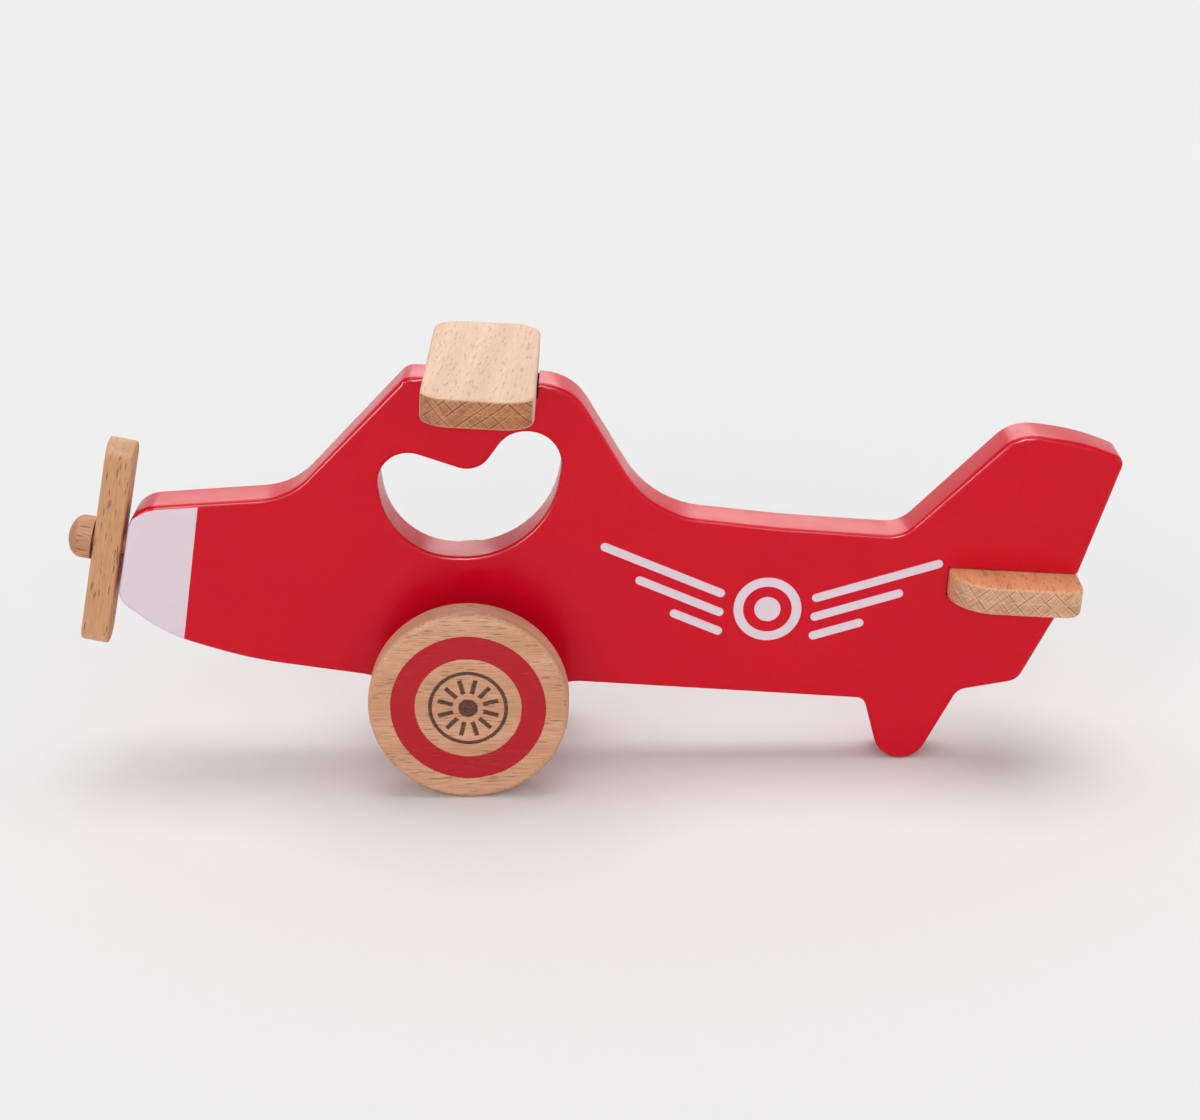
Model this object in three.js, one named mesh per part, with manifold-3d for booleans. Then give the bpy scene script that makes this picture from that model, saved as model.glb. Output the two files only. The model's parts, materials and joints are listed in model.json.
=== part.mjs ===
// Toy airplane of painted beech: a flat fuselage board with a grip hole, a wing plank, a tailplane
// plank, a propeller stick that spins on a round-headed peg, and two wheels on one dowel axle.
// Millimetres. The airframe is drawn level, with x towards the tail and z up from the axle, and is then
// tipped nose-up until its tail skid stands on the same floor as the wheels.
import * as THREE from 'three';
import { mergeVertices, toCreasedNormals } from 'three/addons/utils/BufferGeometryUtils.js';
import Module from 'manifold-3d';

const wasm = await Module();
wasm.setup();

const X_AXIS = new THREE.Vector3(1, 0, 0);
const Y_AXIS = new THREE.Vector3(0, 1, 0);
const Z_AXIS = new THREE.Vector3(0, 0, 1);

// ---- driving dimensions -------------------------------------------------------------------------

const JOINT_GAP = 0.3;        // glue line or slack between two wooden pieces
const RUNNING_GAP = 0.4;      // round a dowel that turns in its bore
const CHORD_ERROR = 0.04;     // how far a facet may leave the true curve
const SAME_POINT = 0.001;     // two outline points nearer than this are one point
const WELD_DISTANCE = 1e-4;
const CREASE_ANGLE = Math.PI / 6;
const EDGE_STEPS = 2;         // facets across a rounded edge
const WHEEL_SIDES = 96;
const DOWEL_SIDES = 36;

const BOARD_THICKNESS = 13.5;
const BOARD_EDGE = 1.2;       // roundover of the painted edges

const PLANK_THICKNESS = 8;    // the wing and the tailplane are cut from one stock
const PLANK_EDGE = 0.8;

const WING_CHORD = 30.5;
const WING_SPAN = 73.5;
const WING_CORNER = 8;
const WING_MID_X = -0.6;
const WING_SEAT_Z = 84;       // floor of the shallow seat in the cabin roof
const WING_SEAT_SLACK = 0.5;
const WING_PIN_RADIUS = 2.5;
const WING_PIN_LENGTH = 10.5;
const WING_PIN_IN_WING = 4.5;
const WING_PIN_OFFSET = 8;

const TAIL_FRONT_X = 133;
const TAIL_REAR_X = 169.3;
const TAIL_SPAN = 41;
const TAIL_FRONT_CORNER = 12;
const TAIL_REAR_CORNER = 5.5;
const TAIL_BOTTOM_Z = 32.2;

const THRUST_TILT = THREE.MathUtils.degToRad(8.5);   // the nose looks up from the wing's chord
const THRUST_X = -99.3;       // where the peg's axis leaves the nose
const THRUST_Z = 32.3;

const BLADE_LENGTH = 62;
const BLADE_WIDTH = 10;
const BLADE_THICKNESS = 8;
const BLADE_EDGE = 0.8;
const BLADE_OFF_NOSE = 0.8;

const PEG_RADIUS = 3;
const PEG_IN_NOSE = 22;
const PEG_HEAD_RADIUS = 6.1;
const PEG_HEAD_RIM = 3;       // straight part of the head behind its dome
const PEG_HEAD_DOME = 4;
const PEG_HEAD_GAP = 0.5;

const WHEEL_RADIUS = 28;
const WHEEL_THICKNESS = 10;
const WHEEL_EDGE = 1.6;
const TRACK = 58;             // over the outer faces of the wheels
const AXLE_RADIUS = 4;
const AXLE_IN_WHEEL = 7;      // blind, so the wheel's painted face has no hole
const SPACER_RADIUS = 9;
const SPACER_OFF_BOARD = 0.5;

// ---- outlines, as corners [x, z, radius of the round] -------------------------------------------

const SKID_TIP = [123.4, -34, 7.8];

const FUSELAGE_CORNERS = [
  [-97, 45.7, 9],             // top of the nose
  [-52.7, 51.2, 21],          // foot of the windscreen
  [-21.4, 88.2, 5],           // front of the cabin roof
  [24.1, 88.2, 15],           // back of the cabin roof
  [48.2, 51.7, 28],           // foot of the cabin's back
  [85, 49.5, 300],
  [119.1, 48.9, 10],          // root of the fin
  [147.6, 80.9, 12],          // front of the fin's top
  [166, 79.4, 60],
  [178.3, 75, 3],             // tip of the fin
  [167.6, 33.5, 40],          // knee of the stern, where the tailplane comes out
  [156.2, 6.5, 5],            // bottom of the stern
  [139.5, 2.5, 4.5],
  SKID_TIP,
  [112.8, -1.6, 3],
  [25, -0.7, 14],             // the belly drops here to a lobe that carries the axle
  [13, -14, 10],
  [-13, -14, 10],
  [-27, -2.2, 14],
  [-64, 1.2, 120],
  [-87.5, 7.6, 40],
  [-101, 17.3, 5],            // chin
];

// A hole runs the other way round from the outline it is cut in.
const GRIP_HOLE_CORNERS = [
  [-24.2, 36, 21],
  [19.3, 36, 27.5],
  [23.5, 73.9, 9.2],
  [7.6, 74, 9.2],
  [-0.7, 60.8, 7.5],
  [-30.8, 69.4, 8.6],
];

// ---- shaping helpers ----------------------------------------------------------------------------

// The arc that rounds one corner: its centre, its two tangent points and the way it turns.
function cornerArc(before, corner, after) {
  const apex = new THREE.Vector2(corner[0], corner[1]);
  const toBefore = new THREE.Vector2(before[0], before[1]).sub(apex).normalize();
  const toAfter = new THREE.Vector2(after[0], after[1]).sub(apex).normalize();
  const halfOpening = Math.acos(toBefore.dot(toAfter)) / 2;
  const radius = corner[2];
  const reach = radius / Math.tan(halfOpening);
  const middle = toBefore.clone().add(toAfter).normalize();
  return {
    centre: apex.clone().addScaledVector(middle, radius / Math.sin(halfOpening)),
    start: apex.clone().addScaledVector(toBefore, reach),
    turn: Math.PI - 2 * halfOpening,
    side: Math.sign(toAfter.cross(toBefore)),
    radius,
  };
}

function arcOfCorner(corners, index) {
  const count = corners.length;
  return cornerArc(corners[(index + count - 1) % count], corners[index], corners[(index + 1) % count]);
}

// Points along a closed outline with every corner rounded.
function roundedOutline(corners) {
  const points = [];
  for (let index = 0; index < corners.length; index += 1) {
    const arc = arcOfCorner(corners, index);
    const step = 2 * Math.acos(1 - CHORD_ERROR / arc.radius);
    const pieces = Math.max(2, Math.ceil(arc.turn / step));
    for (let piece = 0; piece <= pieces; piece += 1) {
      const angle = (arc.side * arc.turn * piece) / pieces;
      points.push(arc.start.clone().rotateAround(arc.centre, angle));
    }
  }
  const isApart = (point, index) => point.distanceTo(points[(index + 1) % points.length]) > SAME_POINT;
  return points.filter(isApart);
}

// A slab of the given outline with rounded edges, centred on its own thickness.
function slab(outline, holes, thickness, edge) {
  const shape = new THREE.Shape(outline);
  shape.holes = holes.map((hole) => new THREE.Path(hole));
  const geometry = new THREE.ExtrudeGeometry(shape, {
    depth: thickness - 2 * edge,
    bevelThickness: edge,
    bevelSize: edge,
    bevelOffset: -edge,
    bevelSegments: EDGE_STEPS,
  });
  return geometry.translate(0, 0, edge - thickness / 2);
}

// Turns a slab drawn in x and y so that its x, y and thickness lie along the three given directions.
function laidAlong(geometry, first, second, third) {
  return geometry.applyMatrix4(new THREE.Matrix4().makeBasis(first, second, third));
}

function bareMesh(geometry) {
  const bare = new THREE.BufferGeometry();
  bare.setAttribute('position', geometry.getAttribute('position').clone());
  bare.setIndex(geometry.getIndex());
  return mergeVertices(bare, WELD_DISTANCE);
}

function solid(geometry) {
  const bare = bareMesh(geometry);
  return new wasm.Manifold(new wasm.Mesh({
    numProp: 3,
    vertProperties: new Float32Array(bare.getAttribute('position').array),
    triVerts: new Uint32Array(bare.getIndex().array),
  }));
}

function geometryOf(manifold) {
  const mesh = manifold.getMesh();
  const geometry = new THREE.BufferGeometry();
  geometry.setAttribute('position', new THREE.BufferAttribute(mesh.vertProperties, 3));
  geometry.setIndex(new THREE.BufferAttribute(mesh.triVerts, 1));
  return geometry;
}

function cutAway(body, tools) {
  return geometryOf(tools.reduce((left, tool) => left.subtract(solid(tool)), solid(body)));
}

function blockBetween(low, high) {
  const size = new THREE.Vector3().subVectors(high, low);
  const middle = new THREE.Vector3().addVectors(low, high).multiplyScalar(0.5);
  return new THREE.BoxGeometry(size.x, size.y, size.z).translate(middle.x, middle.y, middle.z);
}

function rod(radius, length) {
  return new THREE.CylinderGeometry(radius, radius, length, DOWEL_SIDES);
}

// A turned piece: profile points [radius, height], with the height along y.
function turned(profile, sides) {
  const points = profile.map(([radius, height]) => new THREE.Vector2(radius, height));
  return new THREE.LatheGeometry(points, sides);
}

// ---- materials ----------------------------------------------------------------------------------

function paintedRed() {
  return new THREE.MeshStandardMaterial({ color: 0xc81f30, roughness: 0.42, metalness: 0 });
}

function bareBeech(color) {
  return new THREE.MeshStandardMaterial({ color, roughness: 0.62, metalness: 0 });
}

const BEECH_PLANK = 0xd8a882;
const BEECH_TURNED = 0xcd9c78;
const BEECH_DOWEL = 0xd2a47c;

function piece(name, geometry, material) {
  const mesh = new THREE.Mesh(toCreasedNormals(bareMesh(geometry), CREASE_ANGLE), material);
  mesh.name = name;
  return mesh;
}

// ---- wing and tailplane -------------------------------------------------------------------------

const wingLowZ = WING_SEAT_Z + JOINT_GAP;
const wingPinLowZ = wingLowZ + WING_PIN_IN_WING - WING_PIN_LENGTH;
const wingPinPlaces = [
  ['wing_pin_front', WING_MID_X - WING_PIN_OFFSET],
  ['wing_pin_rear', WING_MID_X + WING_PIN_OFFSET],
];

function plank(frontX, rearX, span, frontCorner, rearCorner, lowZ) {
  const outline = roundedOutline([
    [frontX, -span / 2, frontCorner],
    [rearX, -span / 2, rearCorner],
    [rearX, span / 2, rearCorner],
    [frontX, span / 2, frontCorner],
  ]);
  return slab(outline, [], PLANK_THICKNESS, PLANK_EDGE).translate(0, 0, lowZ + PLANK_THICKNESS / 2);
}

function pinAt(x, radius, lowZ, highZ) {
  const geometry = laidAlong(rod(radius, highZ - lowZ), X_AXIS, Z_AXIS, Y_AXIS.clone().negate());
  return geometry.translate(x, 0, (lowZ + highZ) / 2);
}

function pinBore(x) {
  const lowZ = wingPinLowZ - JOINT_GAP;
  return pinAt(x, WING_PIN_RADIUS + JOINT_GAP, lowZ, lowZ + WING_PIN_LENGTH + 2 * JOINT_GAP);
}

function wing() {
  const frontX = WING_MID_X - WING_CHORD / 2;
  const board = plank(frontX, frontX + WING_CHORD, WING_SPAN, WING_CORNER, WING_CORNER, wingLowZ);
  return cutAway(board, wingPinPlaces.map(([, x]) => pinBore(x)));
}

function tailplane() {
  return plank(
    TAIL_FRONT_X,
    TAIL_REAR_X,
    TAIL_SPAN,
    TAIL_FRONT_CORNER,
    TAIL_REAR_CORNER,
    TAIL_BOTTOM_Z,
  );
}

// ---- propeller, drawn along its own axis with x towards the tail --------------------------------

const headBackX = -(BLADE_OFF_NOSE + BLADE_THICKNESS + PEG_HEAD_GAP);

function shank(radius, length, startX) {
  return laidAlong(rod(radius, length), Z_AXIS, X_AXIS, Y_AXIS).translate(startX + length / 2, 0, 0);
}

function peg() {
  const domeSteps = 8;
  const headBack = -headBackX;
  const profile = [
    [0, -PEG_IN_NOSE],
    [PEG_RADIUS, -PEG_IN_NOSE],
    [PEG_RADIUS, headBack],
    [PEG_HEAD_RADIUS, headBack],
  ];
  for (let step = 0; step <= domeSteps; step += 1) {
    const angle = (step * Math.PI) / 2 / domeSteps;
    const height = headBack + PEG_HEAD_RIM + PEG_HEAD_DOME * Math.sin(angle);
    profile.push([step === domeSteps ? 0 : PEG_HEAD_RADIUS * Math.cos(angle), height]);
  }
  const forward = X_AXIS.clone().negate();
  return laidAlong(turned(profile, DOWEL_SIDES), Z_AXIS, forward, Y_AXIS.clone().negate());
}

function blade() {
  const halfWidth = BLADE_WIDTH / 2;
  const halfLength = BLADE_LENGTH / 2;
  const outline = roundedOutline([
    [-halfWidth, -halfLength, halfWidth],
    [halfWidth, -halfLength, halfWidth],
    [halfWidth, halfLength, halfWidth],
    [-halfWidth, halfLength, halfWidth],
  ]);
  const stick = laidAlong(slab(outline, [], BLADE_THICKNESS, BLADE_EDGE), Y_AXIS, Z_AXIS, X_AXIS);
  stick.translate(-BLADE_OFF_NOSE - BLADE_THICKNESS / 2, 0, 0);
  const bore = shank(PEG_RADIUS + RUNNING_GAP, BLADE_THICKNESS * 2, headBackX - PEG_HEAD_GAP);
  return cutAway(stick, [bore]);
}

// ---- fuselage board -----------------------------------------------------------------------------

function placedOnThrustAxis(object) {
  object.position.set(THRUST_X, 0, THRUST_Z);
  object.rotation.y = THRUST_TILT;
  object.updateMatrix();
  return object;
}

function fuselage() {
  const outline = roundedOutline(FUSELAGE_CORNERS);
  const gripHole = roundedOutline(GRIP_HOLE_CORNERS);
  const board = slab(outline, [gripHole], BOARD_THICKNESS, BOARD_EDGE);
  laidAlong(board, X_AXIS, Z_AXIS, Y_AXIS.clone().negate());

  const wingReach = WING_CHORD / 2 + WING_SEAT_SLACK;
  const wingSeat = blockBetween(
    new THREE.Vector3(WING_MID_X - wingReach, -BOARD_THICKNESS, WING_SEAT_Z),
    new THREE.Vector3(WING_MID_X + wingReach, BOARD_THICKNESS, WING_SEAT_Z + PLANK_THICKNESS),
  );
  const slotTopZ = TAIL_BOTTOM_Z + PLANK_THICKNESS + JOINT_GAP;
  const tailSlot = blockBetween(
    new THREE.Vector3(TAIL_FRONT_X - JOINT_GAP, -BOARD_THICKNESS, TAIL_BOTTOM_Z - JOINT_GAP),
    new THREE.Vector3(TAIL_REAR_X + PLANK_THICKNESS, BOARD_THICKNESS, slotTopZ),
  );
  const axleBore = rod(AXLE_RADIUS + RUNNING_GAP, 2 * BOARD_THICKNESS);
  const pegBoreDepth = PEG_IN_NOSE + JOINT_GAP;
  const pegBore = shank(PEG_RADIUS + JOINT_GAP, pegBoreDepth + BLADE_THICKNESS, -BLADE_THICKNESS);
  pegBore.applyMatrix4(placedOnThrustAxis(new THREE.Object3D()).matrix);
  const wingPinBores = wingPinPlaces.map(([, x]) => pinBore(x));
  return cutAway(board, [wingSeat, tailSlot, axleBore, pegBore, ...wingPinBores]);
}

// ---- wheelset, drawn along y with the origin at the middle of the axle --------------------------

const wheelInnerY = TRACK / 2 - WHEEL_THICKNESS;

// Half profile of the wheel from its painted face (height 0) to its inner face with the blind bore.
function wheelProfile() {
  const rimSteps = 4;
  const profile = [[0, 0]];
  for (let step = 0; step <= rimSteps; step += 1) {
    const angle = (step * Math.PI) / 2 / rimSteps;
    profile.push([
      WHEEL_RADIUS - WHEEL_EDGE + WHEEL_EDGE * Math.sin(angle),
      WHEEL_EDGE - WHEEL_EDGE * Math.cos(angle),
    ]);
  }
  for (let step = 0; step <= rimSteps; step += 1) {
    const angle = (step * Math.PI) / 2 / rimSteps;
    profile.push([
      WHEEL_RADIUS - WHEEL_EDGE + WHEEL_EDGE * Math.cos(angle),
      WHEEL_THICKNESS - WHEEL_EDGE + WHEEL_EDGE * Math.sin(angle),
    ]);
  }
  const boreRadius = AXLE_RADIUS + JOINT_GAP;
  const boreEnd = WHEEL_THICKNESS - AXLE_IN_WHEEL - JOINT_GAP;
  profile.push([boreRadius, WHEEL_THICKNESS], [boreRadius, boreEnd], [0, boreEnd]);
  return profile;
}

function spacerProfile() {
  const innerRadius = AXLE_RADIUS + JOINT_GAP;
  const nearY = BOARD_THICKNESS / 2 + SPACER_OFF_BOARD;
  const farY = wheelInnerY - JOINT_GAP;
  return [
    [innerRadius, nearY],
    [SPACER_RADIUS, nearY],
    [SPACER_RADIUS, farY],
    [innerRadius, farY],
    [innerRadius, nearY],
  ];
}

function axle() {
  return rod(AXLE_RADIUS, 2 * (wheelInnerY + AXLE_IN_WHEEL));
}

// ---- assembly -----------------------------------------------------------------------------------

// The nose-up angle at which the round of the skid just touches the floor under the wheels.
function sittingAngle() {
  const skid = arcOfCorner(FUSELAGE_CORNERS, FUSELAGE_CORNERS.indexOf(SKID_TIP));
  const below = Math.atan2(-skid.centre.y, skid.centre.x);
  return Math.asin((WHEEL_RADIUS - skid.radius) / skid.centre.length()) - below;
}

const propeller = placedOnThrustAxis(new THREE.Group());
propeller.add(piece('propeller_blade', blade(), bareBeech(BEECH_PLANK)));
propeller.add(piece('propeller_peg', peg(), bareBeech(BEECH_DOWEL)));

const airframe = new THREE.Group();
airframe.rotation.y = sittingAngle();
airframe.add(piece('fuselage', fuselage(), paintedRed()));
airframe.add(piece('main_wing', wing(), bareBeech(BEECH_PLANK)));
airframe.add(piece('tailplane', tailplane(), bareBeech(BEECH_PLANK)));
for (const [name, x] of wingPinPlaces) {
  const pin = pinAt(x, WING_PIN_RADIUS, wingPinLowZ, wingPinLowZ + WING_PIN_LENGTH);
  airframe.add(piece(name, pin, bareBeech(BEECH_DOWEL)));
}
airframe.add(propeller);

const wheelset = new THREE.Group();
wheelset.add(piece('axle', axle(), bareBeech(BEECH_DOWEL)));
for (const [side, turn] of [['left', 0], ['right', Math.PI]]) {
  const half = new THREE.Group();
  half.rotation.z = turn;
  const wheel = piece(`wheel_${side}`, turned(wheelProfile(), WHEEL_SIDES), bareBeech(BEECH_TURNED));
  wheel.position.y = -TRACK / 2;
  const spacer = piece(`spacer_${side}`, turned(spacerProfile(), DOWEL_SIDES), bareBeech(BEECH_DOWEL));
  spacer.rotation.x = Math.PI;
  half.add(wheel, spacer);
  wheelset.add(half);
}

const standing = new THREE.Group();
standing.position.z = WHEEL_RADIUS;
standing.add(airframe, wheelset);

const airplane = new THREE.Group();
airplane.add(standing);
airplane.updateMatrixWorld(true);
const extent = new THREE.Box3().setFromObject(airplane, true);
standing.position.x = -(extent.min.x + extent.max.x) / 2;
airplane.updateMatrixWorld(true);

export default airplane;
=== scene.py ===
"""Looks of the toy airplane: painted and bare beech, a printed emblem, a pale floor and soft light.

Metres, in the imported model's frame: x towards the tail, y towards the right wheel, z up.
Sizes of patterns, outlines and beads are in millimetres and are scaled where they are used.
"""

import json
import math

import bmesh
import bpy
from mathutils import Matrix, Vector


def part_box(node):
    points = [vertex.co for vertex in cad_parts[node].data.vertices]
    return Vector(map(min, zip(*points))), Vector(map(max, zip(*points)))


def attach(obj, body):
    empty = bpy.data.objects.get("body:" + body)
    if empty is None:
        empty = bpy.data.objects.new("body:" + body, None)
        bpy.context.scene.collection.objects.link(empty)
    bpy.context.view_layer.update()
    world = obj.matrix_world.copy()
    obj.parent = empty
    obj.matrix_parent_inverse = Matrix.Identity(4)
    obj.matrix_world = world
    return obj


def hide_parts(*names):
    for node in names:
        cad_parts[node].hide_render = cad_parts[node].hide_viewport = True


MM = 0.001

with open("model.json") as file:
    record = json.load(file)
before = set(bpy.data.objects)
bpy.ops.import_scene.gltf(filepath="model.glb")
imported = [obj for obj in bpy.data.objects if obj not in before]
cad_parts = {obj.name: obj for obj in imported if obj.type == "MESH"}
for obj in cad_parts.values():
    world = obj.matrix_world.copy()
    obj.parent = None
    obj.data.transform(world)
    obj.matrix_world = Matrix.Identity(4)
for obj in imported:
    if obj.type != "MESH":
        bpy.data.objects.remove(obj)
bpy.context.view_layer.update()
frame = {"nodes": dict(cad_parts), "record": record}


# ---- the object's own directions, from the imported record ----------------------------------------

def named(rows, name):
    return next(row for row in rows if row["name"] == name)


JOINTS = frame["record"]["behaviour"]["joints"]
MOUNTS = frame["record"]["mounts"]

BACK = Vector((1, 0, 0))
ACROSS = Vector((0, 1, 0))
UP = Vector((0, 0, 1))
AXLE = Vector(named(JOINTS, "wheels_roll")["pos_m"])
THRUST = Vector(named(JOINTS, "propeller_spin")["axis"])
WING_UP = Vector(named(MOUNTS, "wing_top")["axis"])
TAILWARD = ACROSS.cross(WING_UP)
BLADE_UP = THRUST.cross(ACROSS)

AIRFRAME_AXES = (TAILWARD, WING_UP, ACROSS)
FLOOR_AXES = (BACK, ACROSS, UP)


def airframe_point(tailward, up, side=0.0):
    """A point of the level airframe from the axle: two distances in millimetres, side in metres."""
    return AXLE + (TAILWARD * tailward + WING_UP * up) * MM + ACROSS * side


# ---- camera --------------------------------------------------------------------------------------

CAMERA_PLACE = (0.005836, -0.638673, 0.317409)
CAMERA_PITCH = 0.38264      # looks down
CAMERA_YAW = 0.00522
CAMERA_ROLL = -0.01117
CAMERA_LENS = 72.75
SENSOR_WIDTH = 36
NEAREST_SEEN = 0.01


def add_camera():
    camera = bpy.data.objects.new("camera", bpy.data.cameras.new("camera"))
    camera.data.sensor_fit = "HORIZONTAL"
    camera.data.sensor_width = SENSOR_WIDTH
    camera.data.lens = CAMERA_LENS
    camera.data.clip_start = NEAREST_SEEN
    turn = (
        Matrix.Rotation(CAMERA_YAW, 4, "Z")
        @ Matrix.Rotation(math.pi / 2 - CAMERA_PITCH, 4, "X")
        @ Matrix.Rotation(CAMERA_ROLL, 4, "Z")
    )
    camera.matrix_world = Matrix.Translation(CAMERA_PLACE) @ turn
    bpy.context.scene.collection.objects.link(camera)
    bpy.context.scene.camera = camera


add_camera()


# ---- colours and node helpers --------------------------------------------------------------------

BROWNING = (1.0, 0.74, 0.56)    # how much red, green and blue a browned tone keeps
SPECK_CORE = 0.45               # part of a speck's radius that is at full strength
NOISE_SPAN = (0.3, 0.7)         # levels between which most noise patterns change


def colour(red, green, blue):
    """A display colour, 0 to 255, as the linear colour a shader takes."""
    def linear(level):
        level /= 255
        return level / 12.92 if level <= 0.04045 else ((level + 0.055) / 1.055) ** 2.4
    return (linear(red), linear(green), linear(blue), 1.0)


def scaled(tone, factor):
    return tuple(min(1.0, level * factor) for level in tone[:3]) + (1.0,)


def browned(tone, factor):
    """A darker and warmer tone, as in pores and saw cuts."""
    return tuple(level * factor * kept for level, kept in zip(tone, BROWNING)) + (1.0,)


class Material:
    """A node material, with short ways to add nodes and join them."""

    def __init__(self, name, specular):
        self.data = bpy.data.materials.new(name)
        self.data.use_nodes = True
        self.tree = self.data.node_tree
        self.surface = self.tree.nodes["Principled BSDF"]
        self.surface.inputs["Specular IOR Level"].default_value = specular

    def put(self, socket, value):
        if isinstance(value, bpy.types.NodeSocket):
            self.tree.links.new(value, socket)
        else:
            socket.default_value = value

    def node(self, kind, settings=None, **inputs):
        made = self.tree.nodes.new(kind)
        for name, value in (settings or {}).items():
            setattr(made, name, value)
        for name, value in inputs.items():
            self.put(made.inputs[name], value)
        return made

    def maths(self, operation, *values):
        made = self.node("ShaderNodeMath", {"operation": operation})
        for socket, value in zip(made.inputs, values):
            self.put(socket, value)
        return made.outputs[0]

    def place(self):
        """Where the shaded point is, in metres of the model's frame."""
        return self.node("ShaderNodeTexCoord").outputs["Object"]

    def along(self, vector, direction):
        made = self.node("ShaderNodeVectorMath", {"operation": "DOT_PRODUCT"})
        self.put(made.inputs[0], vector)
        made.inputs[1].default_value = direction
        return made.outputs["Value"]

    def facing_along(self, direction):
        """0 where the surface lies along the direction, 1 where it faces it from either side."""
        normal = self.node("ShaderNodeNewGeometry").outputs["Normal"]
        return self.maths("ABSOLUTE", self.along(normal, direction))

    def stretched(self, axes, size, shift=(0, 0, 0)):
        """The place in units of the given size (millimetres) along three axes."""
        place = self.place()
        parts = []
        for axis, length, offset in zip(axes, size, shift):
            distance = self.along(place, axis)
            parts.append(self.maths("MULTIPLY_ADD", distance, 1 / (length * MM), offset))
        made = self.node("ShaderNodeCombineXYZ", X=parts[0], Y=parts[1], Z=parts[2])
        return made.outputs[0]

    def noise(self, axes, size, shift=(0, 0, 0), detail=2.0, roughness=0.5, distortion=0.0):
        """Soft noise whose blobs have the given size (millimetres) along three axes."""
        made = self.node(
            "ShaderNodeTexNoise",
            Vector=self.stretched(axes, size, shift),
            Scale=1.0,
            Detail=detail,
            Roughness=roughness,
            Distortion=distortion,
        )
        return made.outputs["Fac"]

    def between(self, value, low, high, out_low=0.0, out_high=1.0):
        """Eases from out_low to out_high as the value goes from low to high."""
        made = self.node("ShaderNodeMapRange", {"interpolation_type": "SMOOTHSTEP"}, Value=value)
        made.inputs["From Min"].default_value = low
        made.inputs["From Max"].default_value = high
        made.inputs["To Min"].default_value = out_low
        made.inputs["To Max"].default_value = out_high
        return made.outputs["Result"]

    def band(self, value, low, high, soft):
        """1 between low and high, with soft edges."""
        rising = self.between(value, low - soft, low + soft)
        falling = self.between(value, high - soft, high + soft, 1.0, 0.0)
        return self.maths("MULTIPLY", rising, falling)

    def mix(self, factor, first, second):
        made = self.node("ShaderNodeMix", {"data_type": "RGBA"})
        self.put(made.inputs[0], factor)
        self.put(made.inputs[6], first)
        self.put(made.inputs[7], second)
        return made.outputs[2]

    def specks(self, vector, radius, chance, seed):
        """Small blobs, one in each cell that chance picks: 1 inside a blob, 0 outside."""
        cells = self.node(
            "ShaderNodeTexVoronoi",
            {"voronoi_dimensions": "4D"},
            Vector=vector,
            W=seed,
            Scale=1.0,
            Randomness=1.0,
        )
        near = self.between(cells.outputs["Distance"], radius * SPECK_CORE, radius, 1.0, 0.0)
        lot = self.node("ShaderNodeSeparateColor", Color=cells.outputs["Color"]).outputs[0]
        return self.maths("MULTIPLY", near, self.maths("LESS_THAN", lot, chance))

    def bump(self, height, distance):
        """Bends the shading as if the surface rose by up to the distance (metres)."""
        return self.node("ShaderNodeBump", Height=height, Distance=distance).outputs["Normal"]

    def finish(self, base_colour, roughness, normal=None):
        self.put(self.surface.inputs["Base Color"], base_colour)
        self.put(self.surface.inputs["Roughness"], roughness)
        if normal is not None:
            self.put(self.surface.inputs["Normal"], normal)
        return self.data


# ---- bare beech ----------------------------------------------------------------------------------
# A size is along the grain and then twice across it, in the order of a piece's three axes. A span
# is the part of a noise over which a mark fades in. A shade is how bright the mark is against the
# wood, a depth is how strongly it shows, and a rise is its part of the relief.

WOOD_ROUGHNESS = 0.52
WOOD_RELIEF = 0.12 * MM
BAND_SIZE = (140, 7, 7)
FIBRE_SIZE = (8, 0.34, 0.34)
FIBRE_SPAN = (0.35, 0.72)
FIBRE_SHADE = 0.74
FIBRE_RISE = 0.35
PORE_SIZE = (1.5, 0.34, 0.34)
PORE_RADIUS = 0.4           # of the cell that holds it
PORE_CHANCE = 0.45
PORE_SHADE = 0.6
PORE_DEPTH = 0.3
FLECK_RADIUS = 0.42
FLECK_SHADE = 0.36
FLECK_RISE = -0.9

END_FACING = (0.14, 0.4)    # side wood turns to end wood as a surface faces along the grain
END_LESS_UP = 0.5           # keeps the rounds of the broad faces out of the end wood
EDGE_FACING = (0.3, 0.93)   # how far the rounds of the edges face the way of the broad faces
EDGE_SOFT = 0.06
# paleness of the edge rounds: partly sanded wood, partly a painted highlight
SANDED_AND_HIGHLIGHT_SHADE = 1.12

END_RING_SIZE = (60, 40, 2.2)
END_RING_SPAN = (0.35, 0.65)
END_RING_SHADE = 0.84
GRIT_SIZE = (0.5, 0.3, 0.3)
GRIT_SPAN = (0.4, 0.75)
GRIT_SHADE = 0.55
GRIT_DEPTH = 0.35
PATCH_SIZE = (30, 5, 5)     # where the saw marks are strong or faint
HATCH_SIZE = (30, 9, 0.4)
HATCH_SPAN = (0.48, 0.62)
HATCH_IN_PATCHES = (0.36, 0.56, 0.3, 0.95)  # span in the patches, then faintest and strongest
HATCH_SHADE = 0.6
HATCH_DEPTH = 0.7
SAW_CUT_GAP = 3.6
SAW_CUT_DRIFT = 1.2         # of the gap
SAW_CUT_DRIFT_SIZE = (60, 25, 25)
SAW_CUT_EDGE = (0.025, 0.06)
SAW_CUT_IN_PATCHES = (0.34, 0.6, 0.15, 1.0)
SAW_CUT_SHADE = 0.42
SAW_CUT_DEPTH = 0.85
SAW_CUT_RISE = -0.8
RIDGE_SIDES = (0.08, 0.13)
RIDGE_SOFT = 0.02
RIDGE_SHADE = 1.4
RIDGE_DEPTH = 0.45
STEP_LINE_EDGE = (0.08, 0.2)
STEP_LINE_DEPTH = 0.6
STEP_BREAK_SIZE = (30, 0.9, 30)
STEP_BREAK_SPAN = (0.38, 0.55)
SAW_PASS_SEEDS = (3.1, 8.7)
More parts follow.
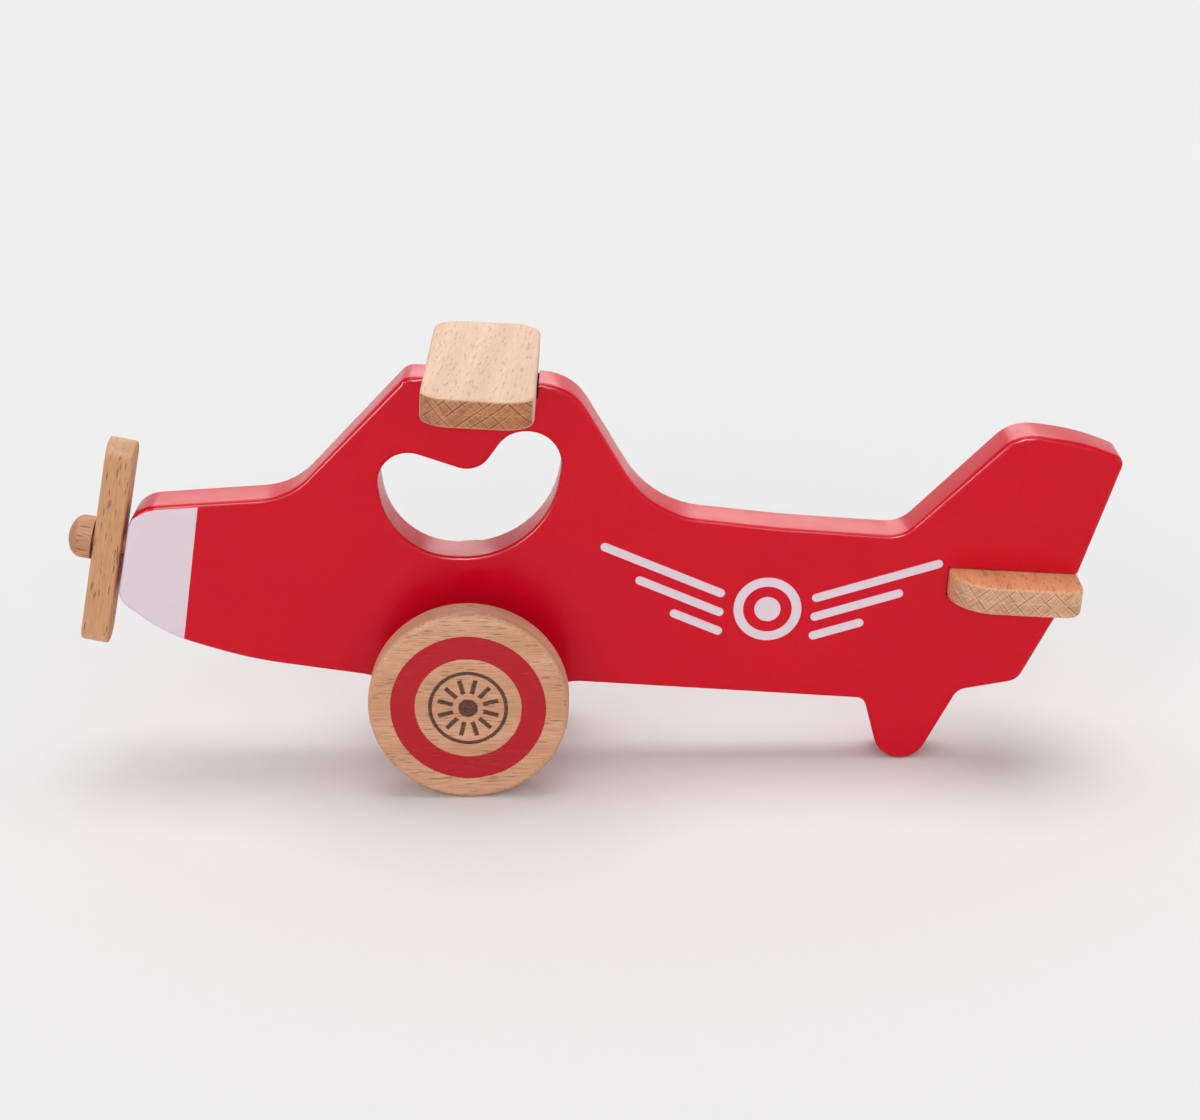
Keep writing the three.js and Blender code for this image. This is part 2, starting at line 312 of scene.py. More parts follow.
SEED_STEPS = (1.0, 1.7, 2.3)    # shift of the patterns along the three axes for each unit of seed


class Beech:
    """Beech with its grain along the first axis: bands, fibres, short dark flecks and sawn ends.

    A fleck is given as its cell's length and width. The step is where the two passes of the saw
    met, in metres up the third axis. The last argument is how much paler the rounds of the edges
    are, partly as sanded wood and partly as a painted highlight.
    """

    def __init__(
        self,
        name,
        axes,
        light,
        dark,
        end,
        seed,
        fleck,
        fleck_chance,
        fleck_depth,
        fibre_depth=0.5,
        saw_depth=0.0,
        saw_step=0.0,
        sanding_and_highlight=0.0,
    ):
        self.material = m = Material(name, specular=0.2)
        self.axes = axes
        self.seed = seed
        shift = [seed * step for step in SEED_STEPS]
        fleck_length, fleck_width = fleck
        fleck_size = (fleck_length, fleck_width, fleck_width)

        bands = m.noise(axes, BAND_SIZE, shift, distortion=0.2)
        self.fibres = m.noise(axes, FIBRE_SIZE, shift, detail=3.0, roughness=0.65)
        flecks = m.specks(m.stretched(axes, fleck_size, shift), FLECK_RADIUS, fleck_chance, seed)
        pores = m.specks(m.stretched(axes, PORE_SIZE, shift), PORE_RADIUS, PORE_CHANCE, seed + 5)

        tone = m.mix(m.between(bands, *NOISE_SPAN), light, dark)
        fibrous = m.between(self.fibres, *FIBRE_SPAN, 0.0, fibre_depth)
        tone = m.mix(fibrous, tone, scaled(dark, FIBRE_SHADE))
        tone = m.mix(m.maths("MULTIPLY", pores, PORE_DEPTH), tone, browned(dark, PORE_SHADE))
        tone = m.mix(m.maths("MULTIPLY", flecks, fleck_depth), tone, browned(dark, FLECK_SHADE))

        sawn, marks = self.sawn_end(end, saw_depth, saw_step)
        turned_up = m.maths("MULTIPLY", m.facing_along(axes[2]), END_LESS_UP)
        end_on = m.maths("SUBTRACT", m.facing_along(axes[0]), turned_up)
        end_on = m.between(end_on, *END_FACING)
        tone = m.mix(end_on, tone, sawn)
        # The rounds of the edges along the broad faces are made paler: partly sanded wood, partly a
        # painted highlight.
        edges = m.band(m.facing_along(axes[2]), *EDGE_FACING, EDGE_SOFT)
        sanded_and_highlit = m.maths("MULTIPLY", edges, sanding_and_highlight)
        self.tone = m.mix(sanded_and_highlit, tone, scaled(light, SANDED_AND_HIGHLIGHT_SHADE))

        fleck_relief = m.maths("MULTIPLY", flecks, FLECK_RISE)
        relief = m.maths("MULTIPLY_ADD", self.fibres, FIBRE_RISE, fleck_relief)
        end_marks = m.maths("MULTIPLY", end_on, marks)
        self.relief = m.maths("MULTIPLY_ADD", end_marks, SAW_CUT_RISE, relief)

    def sawn_end(self, end, depth, step):
        """The end wood's colour, with saw marks that cross, and the marks themselves."""
        m = self.material
        grain, side, up = self.axes
        rings = m.noise(self.axes, END_RING_SIZE, (self.seed, 0, self.seed))
        tone = m.mix(m.between(rings, *END_RING_SPAN), end, scaled(end, END_RING_SHADE))
        grit = m.between(m.noise(self.axes, GRIT_SIZE), *GRIT_SPAN, 0.0, GRIT_DEPTH)
        tone = m.mix(grit, tone, scaled(end, GRIT_SHADE))

        rising = (side + up).normalized()
        sinking = (side - up).normalized()
        ways = ((grain, rising, sinking), (grain, sinking, rising))
        tone, first_cuts = self.saw_pass(tone, end, depth, ways[0], SAW_PASS_SEEDS[0])
        tone, second_cuts = self.saw_pass(tone, end, depth, ways[1], SAW_PASS_SEEDS[1])

        off_step = m.maths("ABSOLUTE", m.maths("SUBTRACT", m.along(m.place(), up), step))
        near, far = (reach * MM for reach in STEP_LINE_EDGE)
        line = m.between(off_step, near, far, 1.0, 0.0)
        line = m.maths("MULTIPLY", line, STEP_LINE_DEPTH * depth)
        breaks = m.noise(self.axes, STEP_BREAK_SIZE, detail=1.0)
        line = m.maths("MULTIPLY", line, m.between(breaks, *STEP_BREAK_SPAN))
        tone = m.mix(line, tone, scaled(end, RIDGE_SHADE))
        marks = m.maths("MAXIMUM", first_cuts, second_cuts)
        return tone, m.maths("MULTIPLY", marks, depth)

    def saw_pass(self, tone, end, depth, axes, seed):
        """Fine hatch, and wider cuts with a pale ridge, along the second of the axes."""
        m = self.material
        hatch = m.noise(axes, HATCH_SIZE, (self.seed, seed, seed), detail=1.0)
        patches = m.noise(self.axes, PATCH_SIZE, (seed, self.seed, seed))
        hatch = m.between(hatch, *HATCH_SPAN)
        hatch = m.maths("MULTIPLY", hatch, m.between(patches, *HATCH_IN_PATCHES))
        hatch = m.maths("MULTIPLY", hatch, HATCH_DEPTH * depth)

        drift = m.noise(axes, SAW_CUT_DRIFT_SIZE, detail=0.0)
        place = m.maths("MULTIPLY_ADD", m.along(m.place(), axes[2]), 1 / (SAW_CUT_GAP * MM), seed)
        cells = m.node(
            "ShaderNodeTexVoronoi",
            {"voronoi_dimensions": "1D", "feature": "DISTANCE_TO_EDGE"},
            W=m.maths("MULTIPLY_ADD", drift, SAW_CUT_DRIFT, place),
            Scale=1.0,
            Randomness=1.0,
        )
        off_cut = cells.outputs["Distance"]
        cut = m.between(off_cut, *SAW_CUT_EDGE, 1.0, 0.0)
        cut = m.maths("MULTIPLY", cut, m.between(patches, *SAW_CUT_IN_PATCHES))
        deep = m.maths("MULTIPLY", cut, SAW_CUT_DEPTH * depth)
        ridge = m.band(off_cut, *RIDGE_SIDES, RIDGE_SOFT)
        ridge = m.maths("MULTIPLY", ridge, RIDGE_DEPTH * depth)

        tone = m.mix(hatch, tone, browned(end, HATCH_SHADE))
        tone = m.mix(ridge, tone, scaled(end, RIDGE_SHADE))
        tone = m.mix(deep, tone, browned(end, SAW_CUT_SHADE))
        return tone, cut

    def made(self):
        m = self.material
        return m.finish(self.tone, WOOD_ROUGHNESS, m.bump(self.relief, WOOD_RELIEF))


WING_GRAIN_LEAN = math.radians(4)
WING_GRAIN = ACROSS * math.cos(WING_GRAIN_LEAN) + TAILWARD * math.sin(WING_GRAIN_LEAN)
WING_AXES = (WING_GRAIN, WING_UP.cross(WING_GRAIN), WING_UP)
TAIL_AXES = (ACROSS, TAILWARD, WING_UP)
BLADE_AXES = (BLADE_UP, ACROSS, THRUST)
PEG_AXES = (THRUST, ACROSS, BLADE_UP)
PIN_AXES = (WING_UP, TAILWARD, ACROSS)
AXLE_AXES = (ACROSS, BACK, UP)
WHEEL_AXES = (BACK, UP, ACROSS)

WING_MIDDLE_UP = 88.3       # middles of the planks' thickness, above the axle
TAIL_MIDDLE_UP = 36.2


def wing_material():
    return Beech(
        "beech_wing",
        WING_AXES,
        light=colour(230, 192, 164),
        dark=colour(218, 177, 148),
        end=colour(190, 133, 92),
        seed=2.0,
        fleck=(5.6, 0.44),
        fleck_chance=0.95,
        fleck_depth=0.3,
        fibre_depth=0.4,
        saw_depth=1.0,
        saw_step=airframe_point(0, WING_MIDDLE_UP).dot(WING_UP),
        sanding_and_highlight=0.2,
    ).made()


def tail_material():
    return Beech(
        "beech_tailplane",
        TAIL_AXES,
        light=colour(234, 170, 124),
        dark=colour(223, 156, 110),
        end=colour(216, 170, 138),
        seed=11.0,
        fleck=(3.6, 0.5),
        fleck_chance=0.95,
        fleck_depth=0.7,
        saw_depth=0.8,
        saw_step=airframe_point(0, TAIL_MIDDLE_UP).dot(WING_UP),
        sanding_and_highlight=0.2,
    ).made()


def blade_material():
    return Beech(
        "beech_blade",
        BLADE_AXES,
        light=colour(208, 156, 114),
        dark=colour(194, 140, 99),
        end=colour(216, 166, 126),
        seed=5.0,
        fleck=(4.6, 0.55),
        fleck_chance=0.95,
        fleck_depth=0.75,
        saw_depth=0.1,
        sanding_and_highlight=0.15,
    ).made()


def dowel_material(name, axes, seed):
    return Beech(
        name,
        axes,
        light=colour(199, 146, 110),
        dark=colour(184, 130, 95),
        end=colour(185, 131, 94),
        seed=seed,
        fleck=(9.0, 0.85),
        fleck_chance=0.8,
        fleck_depth=0.75,
    ).made()


# ---- paint and print -----------------------------------------------------------------------------

PAINT_RED = colour(206, 2, 32)
RING_RED = colour(180, 10, 28)
SPECK_PINK = colour(226, 70, 84)
PRINT_WHITE = colour(221, 205, 214)

BODY_ROUGHNESS = (0.2, 0.27)
PRINT_ROUGHNESS = 0.45
PAINT_RELIEF = 0.03 * MM
PEEL_SIZE = (1.1, 1.1, 1.1)
PEEL_SPAN = (0.4, 0.7)
PEEL_SHADE = 0.84
PEEL_DEPTH = 0.3
PEEL_RISE = 0.3
RAISED_GRAIN_SIZE = (26, 1.1, 1.1)
RAISED_GRAIN_RISE = 0.6
CLOUD_SIZE = (45, 30, 30)
CLOUD_SHADE = 0.92
CLOUD_DEPTH = 0.5
GRAIN_SIZE = (16, 1.2, 1.2)
GRAIN_SPAN = (0.45, 0.8)
GRAIN_SHADE = 0.8
GRAIN_DEPTH = 0.16
SMEAR_SIZE = (5, 5, 5)
SPECK_SIZE = (3.4, 3.4, 3.4)
SPECK_RADIUS = 0.07
SPECK_CHANCE = 0.1
SPECK_DEPTH = 0.35
NOSE_PEEL_SHADE = 0.93
NOSE_PEEL_DEPTH = 0.25
PRINT_PEEL_SHADE = 0.92
PRINT_PEEL_DEPTH = 0.3

NOSE_LINE_TOP = (-78.0, 48.1)       # the pale nose ends on the line between these points
NOSE_LINE_FOOT = (-82.3, 6.4)
NOSE_LINE_EDGE = (0.01, 0.11)
NOSE_LINE_WOBBLE = 0.1
NOSE_WOBBLE_SIZE = (1.5, 1.5, 1.5)
NOSE_WRAP = 0.95                    # how far it reaches round the edge in front and below
NOSE_WRAP_ON_TOP = 0.06
NOSE_WRAP_ENDS = (39.5, 44.5)       # heights above the axle between which the one becomes the other
NOSE_WRAP_SOFT = 0.04


def peel(m):
    """Fine unevenness of sprayed paint."""
    return m.noise(AIRFRAME_AXES, PEEL_SIZE)


def paint_normal(m):
    """The paint's own unevenness over the faint grain under it."""
    grain = m.noise(AIRFRAME_AXES, RAISED_GRAIN_SIZE)
    grain = m.maths("MULTIPLY", grain, RAISED_GRAIN_RISE)
    return m.bump(m.maths("MULTIPLY_ADD", peel(m), PEEL_RISE, grain), PAINT_RELIEF)


def nose_mask(m):
    """1 on the side faces in front of the nose line, 0 elsewhere and on the top edge's round."""
    top = airframe_point(*NOSE_LINE_TOP)
    foot = airframe_point(*NOSE_LINE_FOOT)
    forward = (top - foot).normalized().cross(ACROSS)
    wobble = m.noise(AIRFRAME_AXES, NOSE_WOBBLE_SIZE, detail=1.0)
    reach = m.maths("SUBTRACT", m.along(m.place(), forward), top.dot(forward))
    reach = m.maths("MULTIPLY_ADD", wobble, NOSE_LINE_WOBBLE * MM, reach)
    in_front = m.between(reach, *(edge * MM for edge in NOSE_LINE_EDGE))

    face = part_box("fuselage")[1][1]
    sunk = m.maths("SUBTRACT", face, m.maths("ABSOLUTE", m.along(m.place(), ACROSS)))
    low, high = (airframe_point(0, up).dot(WING_UP) for up in NOSE_WRAP_ENDS)
    height = m.along(m.place(), WING_UP)
    allowed = m.between(height, low, high, NOSE_WRAP * MM, NOSE_WRAP_ON_TOP * MM)
    too_deep = m.maths("SUBTRACT", sunk, allowed)
    on_face = m.between(too_deep, -NOSE_WRAP_SOFT * MM, NOSE_WRAP_SOFT * MM, 1.0, 0.0)
    return m.maths("MULTIPLY", in_front, on_face)


def body_material():
    """Red paint with faint clouds, grain and specks, and the pale nose."""
    m = Material("red_paint", specular=0.2)
    clouds = m.between(m.noise(AIRFRAME_AXES, CLOUD_SIZE), *NOISE_SPAN, 0.0, CLOUD_DEPTH)
    grain = m.between(m.noise(AIRFRAME_AXES, GRAIN_SIZE), *GRAIN_SPAN, 0.0, GRAIN_DEPTH)
    mottle = m.between(peel(m), *PEEL_SPAN, 0.0, PEEL_DEPTH)
    specks = m.stretched(AIRFRAME_AXES, SPECK_SIZE)
    specks = m.specks(specks, SPECK_RADIUS, SPECK_CHANCE, seed=4.0)
    red = m.mix(clouds, PAINT_RED, scaled(PAINT_RED, CLOUD_SHADE))
    red = m.mix(grain, red, scaled(PAINT_RED, GRAIN_SHADE))
    red = m.mix(mottle, red, scaled(PAINT_RED, PEEL_SHADE))
    red = m.mix(m.maths("MULTIPLY", specks, SPECK_DEPTH), red, SPECK_PINK)
    thin = m.between(peel(m), *PEEL_SPAN, 0.0, NOSE_PEEL_DEPTH)
    pale = m.mix(thin, PRINT_WHITE, scaled(PRINT_WHITE, NOSE_PEEL_SHADE))
    smears = m.noise(AIRFRAME_AXES, SMEAR_SIZE, detail=3.0)
    roughness = m.between(smears, *NOISE_SPAN, *BODY_ROUGHNESS)
    return m.finish(m.mix(nose_mask(m), red, pale), roughness, paint_normal(m))


def print_material():
    m = Material("white_print", specular=0.25)
    thin = m.between(peel(m), *PEEL_SPAN, 0.0, PRINT_PEEL_DEPTH)
    tone = m.mix(thin, PRINT_WHITE, scaled(PRINT_WHITE, PRINT_PEEL_SHADE))
    return m.finish(tone, PRINT_ROUGHNESS, paint_normal(m))


# ---- wheels --------------------------------------------------------------------------------------

RING_OUTER = 21.7
RING_INNER = 14.87
RING_SOFT = 0.06
SPOKES = 12
SPOKE_FROM = 4.4
SPOKE_TO = 8.7
SPOKE_END_SOFT = 0.15
SPOKE_HALF_WIDTH = 0.62
SPOKE_SOFT = 0.14
HUB_DISC = 2.7
HUB_DISC_SOFT = 0.15
HUB_RING = 10.6
HUB_RING_HALF_WIDTH = 0.5
HUB_RING_SOFT = 0.12
FACE_DEPTHS = (0.6, 0.3)            # under the outer face, between which paint and burn set in
FUZZ_SIZE = (1.2, 0.5, 0.5)         # the noise that makes the outlines uneven
RADIUS_FUZZ = 0.3
SPOKE_FUZZ = 0.5
BURN_FADE = (0.25, 0.7, 1.0, 0.86)  # span in the fuzz, then strength at its low and high end
BURN_RISE = -1.6
RING_WORN_DEPTH = 0.45
RING_WORN_SHADE = 0.82
WHEEL_ROUGHNESS = 0.58
RING_SMOOTHER = -0.04
CHAR_LIGHT = colour(84, 44, 25)
CHAR_DARK = colour(52, 27, 15)


def wheel_material(name, seed):
    """Beech with a painted ring and a burnt mark of a disc, spokes and a rim at the hub."""
    wood = Beech(
        name,
        WHEEL_AXES,
        light=colour(218, 168, 136),
        dark=colour(203, 147, 112),
        end=colour(214, 162, 131),
        seed=seed,
        fleck=(5.2, 0.5),
        fleck_chance=0.75,
        fleck_depth=0.6,
        fibre_depth=0.85,
    )
    m = wood.material
    place = m.place()
    back = m.maths("SUBTRACT", m.along(place, BACK), AXLE.x)
    up = m.maths("SUBTRACT", m.along(place, UP), AXLE.z)
    back = m.maths("MULTIPLY", back, 1 / MM)
    up = m.maths("MULTIPLY", up, 1 / MM)
    squares = m.maths("ADD", m.maths("POWER", back, 2.0), m.maths("POWER", up, 2.0))
    radius = m.maths("SQRT", squares)
    fuzz = m.noise(WHEEL_AXES, FUZZ_SIZE, (seed, 0, 0))
    shake = m.maths("MULTIPLY_ADD", fuzz, RADIUS_FUZZ, -RADIUS_FUZZ / 2)
    rough_radius = m.maths("ADD", radius, shake)

    outside = -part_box("wheel_left")[0][1]
    sideways = m.maths("ABSOLUTE", m.along(place, ACROSS))
    painted_face = m.between(sideways, *(outside - depth * MM for depth in FACE_DEPTHS))
    ring = m.band(rough_radius, RING_INNER, RING_OUTER, RING_SOFT)
    ring = m.maths("MULTIPLY", ring, painted_face)
    worn = m.between(wood.fibres, *NOISE_SPAN, 0.0, RING_WORN_DEPTH)
    red = m.mix(worn, RING_RED, scaled(RING_RED, RING_WORN_SHADE))

    angle = m.maths("ARCTAN2", up, back)
    sector = 2 * math.pi / SPOKES
    folded = m.maths("SUBTRACT", m.maths("FLOORED_MODULO", angle, sector), sector / 2)
    off_spoke = m.maths("ABSOLUTE", m.maths("MULTIPLY", radius, m.maths("SINE", folded)))
    shake = m.maths("MULTIPLY_ADD", fuzz, SPOKE_FUZZ, -SPOKE_FUZZ / 2)
    off_spoke = m.maths("ADD", off_spoke, shake)
    narrow, wide = SPOKE_HALF_WIDTH - SPOKE_SOFT, SPOKE_HALF_WIDTH + SPOKE_SOFT
    spokes = m.between(off_spoke, narrow, wide, 1.0, 0.0)
    reach = m.band(rough_radius, SPOKE_FROM, SPOKE_TO, SPOKE_END_SOFT)
    spokes = m.maths("MULTIPLY", spokes, reach)
    disc = m.between(rough_radius, HUB_DISC - HUB_DISC_SOFT, HUB_DISC + HUB_DISC_SOFT, 1.0, 0.0)
    rim = m.band(
        rough_radius,
        HUB_RING - HUB_RING_HALF_WIDTH,
        HUB_RING + HUB_RING_HALF_WIDTH,
        HUB_RING_SOFT,
    )
    burnt = m.maths("MAXIMUM", m.maths("MAXIMUM", spokes, disc), rim)
    burnt = m.maths("MULTIPLY", burnt, painted_face)
    strength = m.maths("MULTIPLY", burnt, m.between(fuzz, *BURN_FADE))
    char = m.mix(m.between(wood.fibres, *NOISE_SPAN), CHAR_LIGHT, CHAR_DARK)

    tone = m.mix(strength, m.mix(ring, wood.tone, red), char)
    relief = m.maths("MULTIPLY_ADD", burnt, BURN_RISE, wood.relief)
    roughness = m.maths("MULTIPLY_ADD", ring, RING_SMOOTHER, WHEEL_ROUGHNESS)
    return m.finish(tone, roughness, m.bump(relief, WOOD_RELIEF))


# ---- pieces --------------------------------------------------------------------------------------

WELD = 1e-6
CREASE = math.radians(50)
LARGE_FACES_LEAD = 100      # large faces set the normals of the small ones beside them


def add_object(name, build, material):
    """Turns a finished bmesh into an object of the scene."""
    shape = bpy.data.meshes.new(name)
    build.to_mesh(shape)
    build.free()
    shape.materials.append(material)
    made = bpy.data.objects.new(name, shape)
    bpy.context.scene.collection.objects.link(made)
    return made


def smooth_piece(node, body, material):
    """A copy of a CAD node with joined faces and smooth rounds, which stands for the node."""
    build = bmesh.new()
    build.from_mesh(frame["nodes"][node].data)
    bmesh.ops.remove_doubles(build, verts=build.verts, dist=WELD)
    bmesh.ops.dissolve_degenerate(build, edges=build.edges, dist=WELD)
    for face in build.faces:
        face.smooth = True
    for edge in build.edges:
        edge.smooth = not (edge.is_manifold and edge.calc_face_angle() > CREASE)
    piece = add_object(node + "_piece", build, material)
    normals = piece.modifiers.new("even_normals", "WEIGHTED_NORMAL")
    normals.keep_sharp = True
    normals.weight = LARGE_FACES_LEAD
    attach(piece, body)
    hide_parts(node)


body_paint = body_material()
axle_wood = dowel_material("beech_axle", AXLE_AXES, 21.0)
pin_wood = dowel_material("beech_pin", PIN_AXES, 25.0)
peg_wood = dowel_material("beech_peg", PEG_AXES, 17.0)

smooth_piece("fuselage", "airframe", body_paint)
smooth_piece("main_wing", "airframe", wing_material())
smooth_piece("tailplane", "airframe", tail_material())
smooth_piece("wing_pin_front", "airframe", pin_wood)
smooth_piece("wing_pin_rear", "airframe", pin_wood)
smooth_piece("propeller_peg", "airframe", peg_wood)
smooth_piece("propeller_blade", "propeller", blade_material())
smooth_piece("axle", "wheelset", axle_wood)
smooth_piece("spacer_left", "wheelset", axle_wood)
smooth_piece("spacer_right", "wheelset", axle_wood)
smooth_piece("wheel_left", "wheelset", wheel_material("beech_wheel_left", 31.0))
smooth_piece("wheel_right", "wheelset", wheel_material("beech_wheel_right", 44.0))


# ---- painted shade: dark beads in the gaps between the wing and the ends of its seat -------------

WING_MIDDLE = -0.6                      # tailward of the axle
# Dark beads that fill the gaps at the ends of the wing's seat: painted shade.
SHADE_FILL_OFF_MIDDLE = (15.3, 15.51, 15.72)  # near side, hollow and far side of the bead
SHADE_FILL_FOOT = 84.05                       # above the axle
SHADE_FILL_TOP = 87.5
SHADE_FILL_HOLLOW = 0.35
SHADE_FILL_HALF_WIDTH = 6.1
SHADE_FILL_STEPS = 12
SHADE_FILL_WAVE = 0.12
SHADE_FILL_WAVE_TURN = 2.4
# colours of the painted shade in the gaps
SHADE_FILL_LIGHT = colour(70, 20, 16)
SHADE_FILL_DARK = colour(38, 12, 10)
SHADE_FILL_ROUGHNESS = 0.6
SHADE_FILL_RELIEF = 0.1 * MM
SHADE_FILL_BLOTCH_SIZE = (0.6, 0.6, 1.5)
SHADE_FILL_BLOTCH_SPAN = (0.35, 0.65)


# Dark, blotchy colour of the beads that stand for the shade in the gaps: painted shade.
def shade_fill_material():
    m = Material("painted_gap_shade", specular=0.2)
    blotches = m.noise(AIRFRAME_AXES, SHADE_FILL_BLOTCH_SIZE)
    tone = m.mix(m.between(blotches, *SHADE_FILL_BLOTCH_SPAN), SHADE_FILL_LIGHT, SHADE_FILL_DARK)
    return m.finish(tone, SHADE_FILL_ROUGHNESS, m.bump(blotches, SHADE_FILL_RELIEF))


def shade_fill_bead(name, way, material):
    """A bead with a hollow, uneven top, at the front (way -1) or rear (way 1) end of the seat.

    It is dark and fills the gap there: painted shade.
    """
    near, middle, far = (WING_MIDDLE + way * reach for reach in SHADE_FILL_OFF_MIDDLE)
    build = bmesh.new()
    rings = []
    for step in range(SHADE_FILL_STEPS + 1):
        side = SHADE_FILL_HALF_WIDTH * (2 * step / SHADE_FILL_STEPS - 1) * MM
        top = SHADE_FILL_TOP + SHADE_FILL_WAVE * math.sin(SHADE_FILL_WAVE_TURN * step)
        profile = (
            (near, SHADE_FILL_FOOT),
            (far, SHADE_FILL_FOOT),
            (far, top),
            (middle, top - SHADE_FILL_HOLLOW),
            (near, top),
        )
        rings.append([build.verts.new(airframe_point(x, z, side)) for x, z in profile])
    count = len(rings[0])
    for ring, after in zip(rings, rings[1:]):
        for index in range(count):
            following = (index + 1) % count
            build.faces.new((ring[index], ring[following], after[following], after[index]))
    build.faces.new(rings[0])
    build.faces.new(rings[-1])
    bmesh.ops.recalc_face_normals(build, faces=build.faces)
    piece = add_object(name, build, material)
    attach(piece, "airframe")


# Painted shade: dark beads in the gaps at both ends of the wing's seat.
shade_fill = shade_fill_material()
shade_fill_bead("wing_gap_shade_front", -1, shade_fill)
shade_fill_bead("wing_gap_shade_rear", 1, shade_fill)


# ---- emblem, printed on both sides ---------------------------------------------------------------

PRINT_PROUD = 0.04 * MM
PRINT_SUNK = 0.05 * MM
EMBLEM_CENTRE = (82.8, 25.0)
EMBLEM_RING = (9.6, 6.9)            # outer and inner radius
EMBLEM_DISC = 3.7
BAR_HALF_WIDTH = 1.25
BAR_RISE = math.radians(20)
BAR_START = 13.6
BAR_LENGTHS = (35.5, 24.5, 13.5)
BAR_STARTS_UP = (4.2, -1.6, -7.4)
BAR_END_STEPS = 16
CIRCLE_STEPS = 72


def circle(centre, radius):
    turns = [2 * math.pi * step / CIRCLE_STEPS for step in range(CIRCLE_STEPS)]
    x, z = centre
    return [(x + radius * math.cos(turn), z + radius * math.sin(turn)) for turn in turns]


def bar(start, direction, length):
    """Outline of a straight bar with round ends."""
    turn = math.atan2(direction[1], direction[0])
    points = []
    for end, first in ((length, -math.pi / 2), (0.0, math.pi / 2)):
        for step in range(BAR_END_STEPS + 1):
            angle = turn + first + math.pi * step / BAR_END_STEPS
            x = start[0] + direction[0] * end + BAR_HALF_WIDTH * math.cos(angle)
            z = start[1] + direction[1] * end + BAR_HALF_WIDTH * math.sin(angle)
            points.append((x, z))
    return points


def emblem_bars():
    bars = []
    for way in (-1, 1):
        for length, up in zip(BAR_LENGTHS, BAR_STARTS_UP):
            start = (EMBLEM_CENTRE[0] + way * BAR_START, EMBLEM_CENTRE[1] + up)
            direction = (way * math.cos(BAR_RISE), math.sin(BAR_RISE))
            bars.append(bar(start, direction, length))
    return bars


def print_shape(build, outer, low, high, hole=None):
    """Adds a thin flat shape between two depths, from the outlines of its outside and its hole."""
    def loop(outline, depth):
        return [build.verts.new(airframe_point(x, z, depth)) for x, z in outline]

    outer_low, outer_high = loop(outer, low), loop(outer, high)
    walls = [(outer_low, outer_high)]
    if hole:
        hole_low, hole_high = loop(hole, low), loop(hole, high)
        walls += [(hole_high, hole_low), (outer_high, hole_high), (hole_low, outer_low)]
    else:
        build.faces.new(outer_low)
        build.faces.new(outer_high)
    for first, second in walls:
        for index in range(len(outer)):
            after = (index + 1) % len(outer)
            build.faces.new((first[index], first[after], second[after], second[index]))


def emblem(name, side):
    """The emblem on one side of the board: a ring round a disc, with three bars on each hand."""
    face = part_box("fuselage")[1 if side > 0 else 0][1]
    low = face - side * PRINT_SUNK
    high = face + side * PRINT_PROUD
    build = bmesh.new()
    ring, hole = (circle(EMBLEM_CENTRE, radius) for radius in EMBLEM_RING)
    print_shape(build, ring, low, high, hole)
    print_shape(build, circle(EMBLEM_CENTRE, EMBLEM_DISC), low, high)
    for outline in emblem_bars():
        print_shape(build, outline, low, high)
    bmesh.ops.recalc_face_normals(build, faces=build.faces)
    piece = add_object(name, build, print_material())
    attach(piece, "airframe")


emblem("emblem_left", -1)
emblem("emblem_right", 1)


# ---- floor and light -----------------------------------------------------------------------------

HORIZON_LEVEL = 0.87        # as bright as the lit floor, so that the two meet unseen
SKY_LEVEL = 0.4
SKY_FROM = 0.22             # heights of the sky's direction between which it changes
SKY_TO = 0.55
FLOOR_SIZE = 60.0
FLOOR_TONE = (0.8, 0.8, 0.8, 1)
FLOOR_ROUGHNESS = 0.9
FLOOR_GRAIN_SIZE = (4, 4, 4)
FLOOR_GRAIN_SHADE = 0.9
FLOOR_GRAIN_DEPTH = 0.02


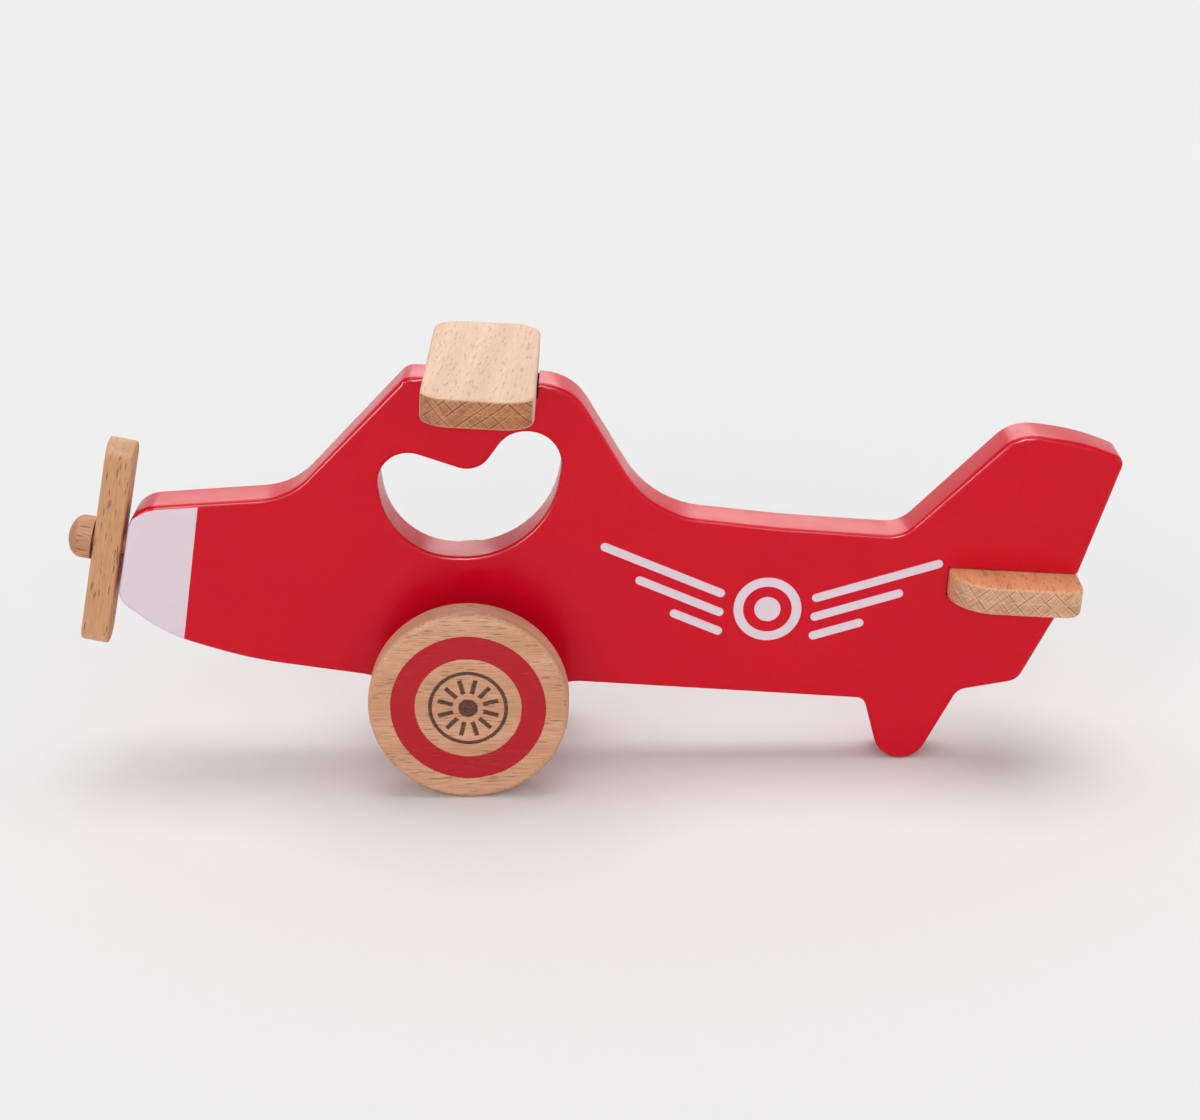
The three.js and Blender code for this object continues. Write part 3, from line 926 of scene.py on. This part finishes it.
def add_floor():
    build = bmesh.new()
    bmesh.ops.create_grid(build, x_segments=1, y_segments=1, size=FLOOR_SIZE / 2)
    m = Material("floor_paper", specular=0.0)
    grain = m.noise(FLOOR_AXES, FLOOR_GRAIN_SIZE)
    grain = m.between(grain, *NOISE_SPAN, 0.0, FLOOR_GRAIN_DEPTH)
    tone = m.mix(grain, FLOOR_TONE, scaled(FLOOR_TONE, FLOOR_GRAIN_SHADE))
    floor = add_object("floor", build, m.finish(tone, FLOOR_ROUGHNESS))


def add_world():
    world = bpy.data.worlds.new("studio")
    world.use_nodes = True
    tree = world.node_tree
    direction = tree.nodes.new("ShaderNodeTexCoord").outputs["Generated"]
    height = tree.nodes.new("ShaderNodeSeparateXYZ")
    level = tree.nodes.new("ShaderNodeMapRange")
    level.interpolation_type = "SMOOTHSTEP"
    level.inputs["From Min"].default_value = SKY_FROM
    level.inputs["From Max"].default_value = SKY_TO
    level.inputs["To Min"].default_value = HORIZON_LEVEL
    level.inputs["To Max"].default_value = SKY_LEVEL
    tree.links.new(direction, height.inputs[0])
    tree.links.new(height.outputs["Z"], level.inputs["Value"])
    tree.links.new(level.outputs["Result"], tree.nodes["Background"].inputs["Strength"])
    tree.nodes["Background"].inputs["Color"].default_value = (1, 1, 1, 1)
    bpy.context.scene.world = world


def add_softbox(name, azimuth, elevation, spread, brightness, only_gloss=False):
    """Even light from one round part of the sky; azimuth 0 is the camera's side. In degrees."""
    half = math.radians(spread) / 2
    light = bpy.data.lights.new(name, "SUN")
    light.angle = 2 * half
    light.energy = brightness * math.pi * math.sin(half) ** 2
    softbox = bpy.data.objects.new(name, light)
    turn, rise = math.radians(azimuth), math.radians(elevation)
    towards = Vector(
        (math.sin(turn) * math.cos(rise), -math.cos(turn) * math.cos(rise), math.sin(rise))
    )
    softbox.rotation_euler = towards.to_track_quat("Z", "Y").to_euler()
    softbox.visible_diffuse = not only_gloss
    bpy.context.scene.collection.objects.link(softbox)


add_floor()
add_world()
add_softbox("top_softbox", 175, 81, 44, 3.5)
add_softbox("front_softbox", -8, 20, 70, 0.95)
add_softbox("right_softbox", 80, 12, 50, 0.4)
add_softbox("back_softbox", 180, 38, 46, 2.7, only_gloss=True)
add_softbox("edge_softbox", -4, 38, 24, 30.0, only_gloss=True)
add_softbox("edge_softbox_left", -44, 17, 24, 20.0, only_gloss=True)

bpy.context.scene.view_settings.view_transform = "Standard"
bpy.context.scene.view_settings.look = "None"
